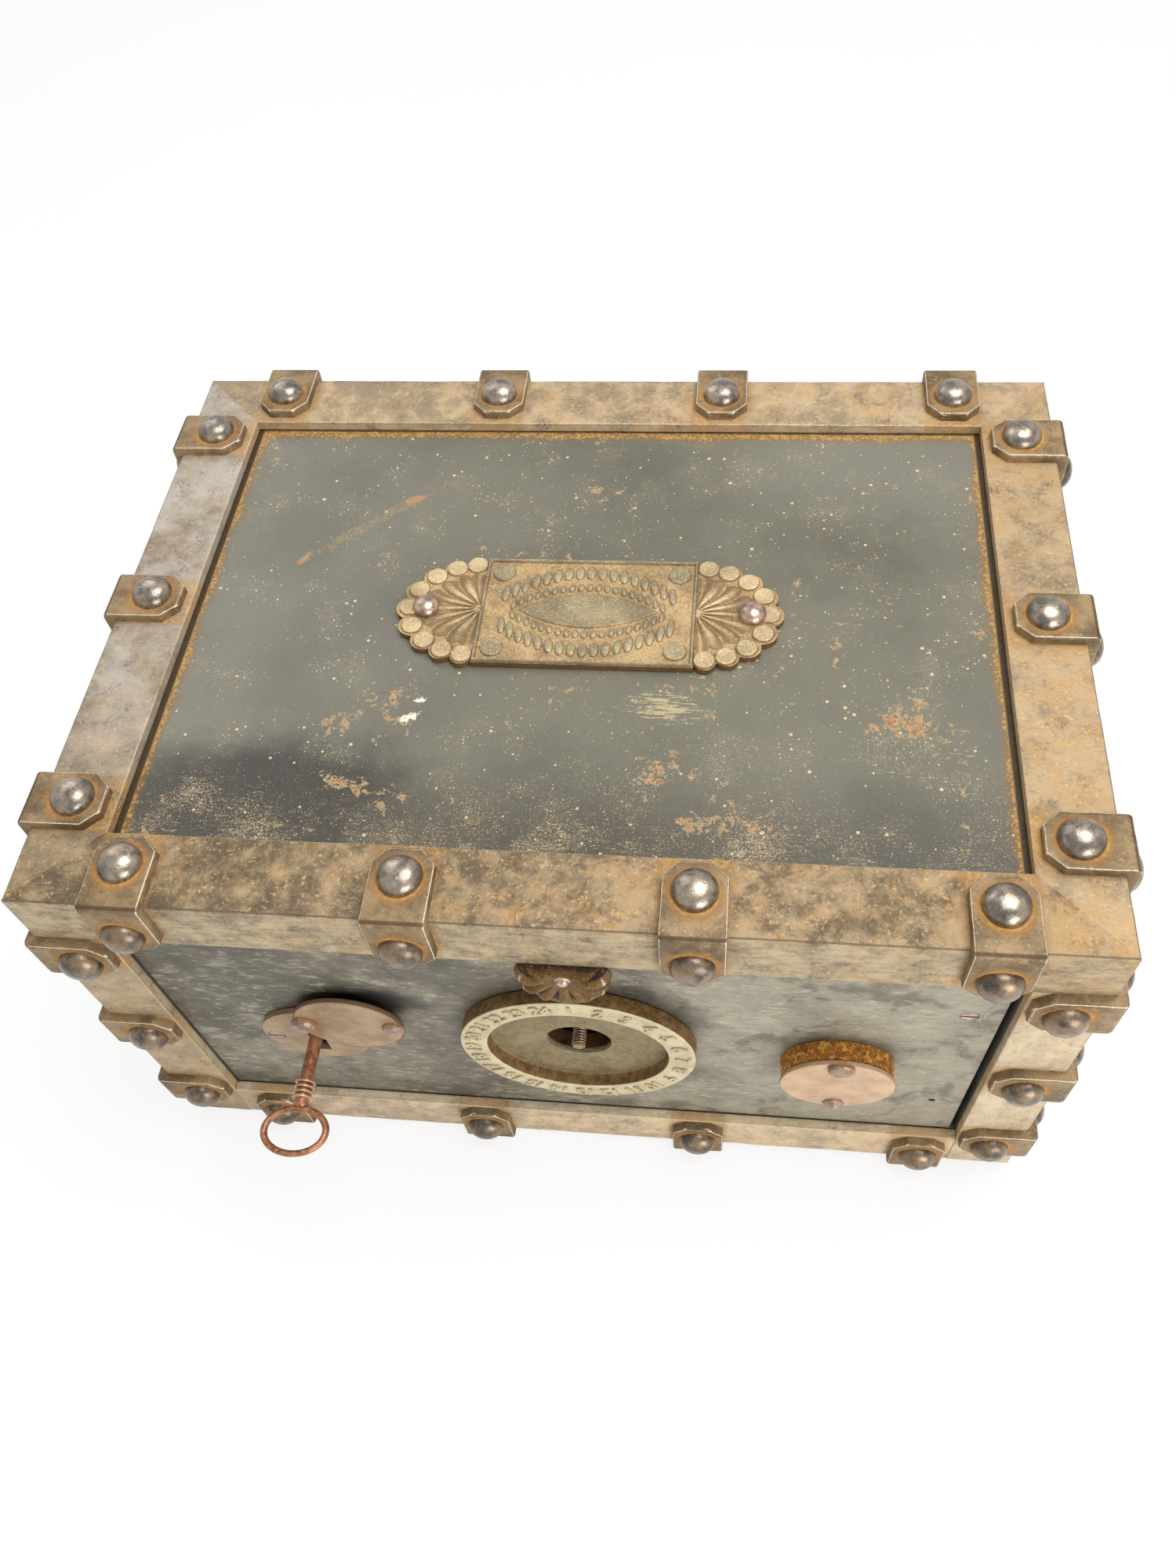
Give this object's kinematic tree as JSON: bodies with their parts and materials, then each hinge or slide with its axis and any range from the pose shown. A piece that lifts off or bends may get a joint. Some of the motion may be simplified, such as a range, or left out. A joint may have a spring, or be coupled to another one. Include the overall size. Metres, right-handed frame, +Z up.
{
  "type": "iron strongbox",
  "caption": "Small iron strongbox: riveted angle-iron cage, hinged front door with two key locks, a dial ring, swivel covers, key in place and a plate on top.",
  "frame": {"origin": "middle of the footprint on the floor, with the strap rivets and the key in the lock counted in the footprint", "axes": "+X to the right as the door is faced, +Y towards the back, +Z up"},
  "size_m": [0.4424, 0.3726, 0.2434],
  "materials": {
    "cage_iron": "worn wrought iron, brown patina with golden rust and bright edges",
    "top_paint": "old black paint, chipped and scratched",
    "shell_paint": "old black paint, dusty",
    "door_iron": "dark grey iron, mottled and rubbed",
    "liner_sheet": "dark sheet iron",
    "packing": "pale fireproof filling",
    "bush_brass": "turned brass",
    "nameplate_iron": "cast plate, worn, brown rust",
    "fitting_steel": "worn steel with a warm stain",
    "rusted_ring": "golden rust",
    "cast_fitting": "cast iron, worn relief",
    "key_iron": "red brown rust",
    "lock_steel": "oiled steel",
    "lock_brass": "milled brass"
  },
  "bodies": {
    "box": {"top_iron_front": "cage_iron", "top_iron_right": "cage_iron", "top_iron_back": "cage_iron", "top_iron_left": "cage_iron", "bottom_iron_front": "cage_iron", "bottom_iron_right": "cage_iron", "bottom_iron_back": "cage_iron", "bottom_iron_left": "cage_iron", "corner_post_front_left": "cage_iron", "corner_post_front_right": "cage_iron", "corner_post_back_right": "cage_iron", "corner_post_back_left": "cage_iron", "top_plate": "top_paint", "bottom_plate": "shell_paint", "left_plate": "shell_paint", "right_plate": "shell_paint", "back_plate": "shell_paint", "inner_liner": "liner_sheet", "body_packing": "packing", "pivot_bush_upper": "bush_brass", "pivot_bush_lower": "bush_brass", "nameplate": "nameplate_iron", "nameplate_rivet_left": "fitting_steel", "nameplate_rivet_right": "fitting_steel"},
    "door": {"door_plate": "door_iron", "door_case": "liner_sheet", "door_partition": "liner_sheet", "door_packing": "packing", "door_back_plate": "liner_sheet", "case_screw": "fitting_steel", "dial_ring": "cast_fitting", "rosette": "cast_fitting", "rosette_screw": "fitting_steel", "left_escutcheon": "fitting_steel", "escutcheon_screw": "fitting_steel", "left_cover_pivot": "fitting_steel", "right_escutcheon": "rusted_ring", "right_cover_pivot": "fitting_steel", "left_lock_case": "lock_steel", "right_lock_case": "lock_steel", "left_lever_springs": "lock_steel", "right_lever_springs": "lock_steel", "combination_case": "lock_steel"},
    "left_cover": {"left_cover": "fitting_steel"},
    "right_cover": {"right_cover": "fitting_steel"},
    "key": {"key": "key_iron"},
    "left_bolt": {"left_bolt": "lock_steel"},
    "right_bolt": {"right_bolt": "lock_steel"},
    "spindle": {"spindle": "lock_steel"},
    "fence_lever": {"fence_lever": "lock_steel"},
    "left_lever_1": {"left_lever_1": "lock_brass"},
    "left_lever_2": {"left_lever_2": "lock_brass"},
    "left_lever_3": {"left_lever_3": "lock_brass"},
    "right_lever_1": {"right_lever_1": "lock_brass"},
    "right_lever_2": {"right_lever_2": "lock_brass"},
    "right_lever_3": {"right_lever_3": "lock_brass"},
    "combination_wheel_1": {"combination_wheel_1": "lock_brass"},
    "combination_wheel_2": {"combination_wheel_2": "lock_brass"},
    "combination_wheel_3": {"combination_wheel_3": "lock_brass"}
  },
  "joints": [
    {"name": "door_hinge", "type": "hinge", "parent": "box", "child": "door", "pos_m": [0.171, -0.12366, 0.1172], "axis": [0, 0, 1], "range_deg": [0, 100]},
    {"name": "key_turn", "type": "hinge", "parent": "door", "child": "key", "pos_m": [-0.1175, -0.13286, 0.1087], "axis": [0, -1, 0], "range_deg": [0, 180]},
    {"name": "left_bolt_slide", "type": "slide", "parent": "door", "child": "left_bolt", "axis": [-1, 0, 0], "range_m": [0, 0.01]},
    {"name": "right_bolt_slide", "type": "slide", "parent": "door", "child": "right_bolt", "axis": [1, 0, 0], "range_m": [0, 0.01]},
    {"name": "left_cover_swing", "type": "hinge", "parent": "door", "child": "left_cover", "pos_m": [-0.1175, -0.13286, 0.1292], "axis": [0, -1, 0], "range_deg": [0, 180]},
    {"name": "right_cover_swing", "type": "hinge", "parent": "door", "child": "right_cover", "pos_m": [0.117, -0.13286, 0.1292], "axis": [0, -1, 0], "range_deg": [-180, 180]},
    {"name": "spindle_turn", "type": "hinge", "parent": "door", "child": "spindle", "pos_m": [0.0042, -0.13286, 0.1185], "axis": [0, -1, 0], "continuous": true},
    {"name": "fence_lift", "type": "hinge", "parent": "door", "child": "fence_lever", "pos_m": [0.0292, -0.11286, 0.1455], "axis": [0, 1, 0], "range_deg": [0, 8]},
    {"name": "left_lever_1_lift", "type": "hinge", "parent": "door", "child": "left_lever_1", "pos_m": [-0.0905, -0.11286, 0.1307], "axis": [0, 1, 0], "range_deg": [0, 4]},
    {"name": "left_lever_2_lift", "type": "hinge", "parent": "door", "child": "left_lever_2", "pos_m": [-0.0905, -0.11286, 0.1307], "axis": [0, 1, 0], "range_deg": [0, 4]},
    {"name": "left_lever_3_lift", "type": "hinge", "parent": "door", "child": "left_lever_3", "pos_m": [-0.0905, -0.11286, 0.1307], "axis": [0, 1, 0], "range_deg": [0, 4]},
    {"name": "right_lever_1_lift", "type": "hinge", "parent": "door", "child": "right_lever_1", "pos_m": [0.09, -0.11286, 0.1307], "axis": [0, -1, 0], "range_deg": [0, 4]},
    {"name": "right_lever_2_lift", "type": "hinge", "parent": "door", "child": "right_lever_2", "pos_m": [0.09, -0.11286, 0.1307], "axis": [0, -1, 0], "range_deg": [0, 4]},
    {"name": "right_lever_3_lift", "type": "hinge", "parent": "door", "child": "right_lever_3", "pos_m": [0.09, -0.11286, 0.1307], "axis": [0, -1, 0], "range_deg": [0, 4]},
    {"name": "combination_wheel_1_turn", "type": "hinge", "parent": "door", "child": "combination_wheel_1", "pos_m": [0.0042, -0.11286, 0.1185], "axis": [0, -1, 0], "continuous": true},
    {"name": "combination_wheel_2_turn", "type": "hinge", "parent": "door", "child": "combination_wheel_2", "pos_m": [0.0042, -0.11286, 0.1185], "axis": [0, -1, 0], "continuous": true},
    {"name": "combination_wheel_3_turn", "type": "hinge", "parent": "door", "child": "combination_wheel_3", "pos_m": [0.0042, -0.11286, 0.1185], "axis": [0, -1, 0], "continuous": true}
  ],
  "couplings": [
    {"joint": "key_turn", "follows": "left_bolt_slide", "rad_per_m": 314.15},
    {"joint": "left_lever_1_lift", "follows": "left_bolt_slide", "rad_per_m": 6.9806},
    {"joint": "left_lever_2_lift", "follows": "left_bolt_slide", "rad_per_m": 6.9806},
    {"joint": "left_lever_3_lift", "follows": "left_bolt_slide", "rad_per_m": 6.9806},
    {"joint": "right_lever_1_lift", "follows": "right_bolt_slide", "rad_per_m": 6.9806},
    {"joint": "right_lever_2_lift", "follows": "right_bolt_slide", "rad_per_m": 6.9806},
    {"joint": "right_lever_3_lift", "follows": "right_bolt_slide", "rad_per_m": 6.9806}
  ]
}
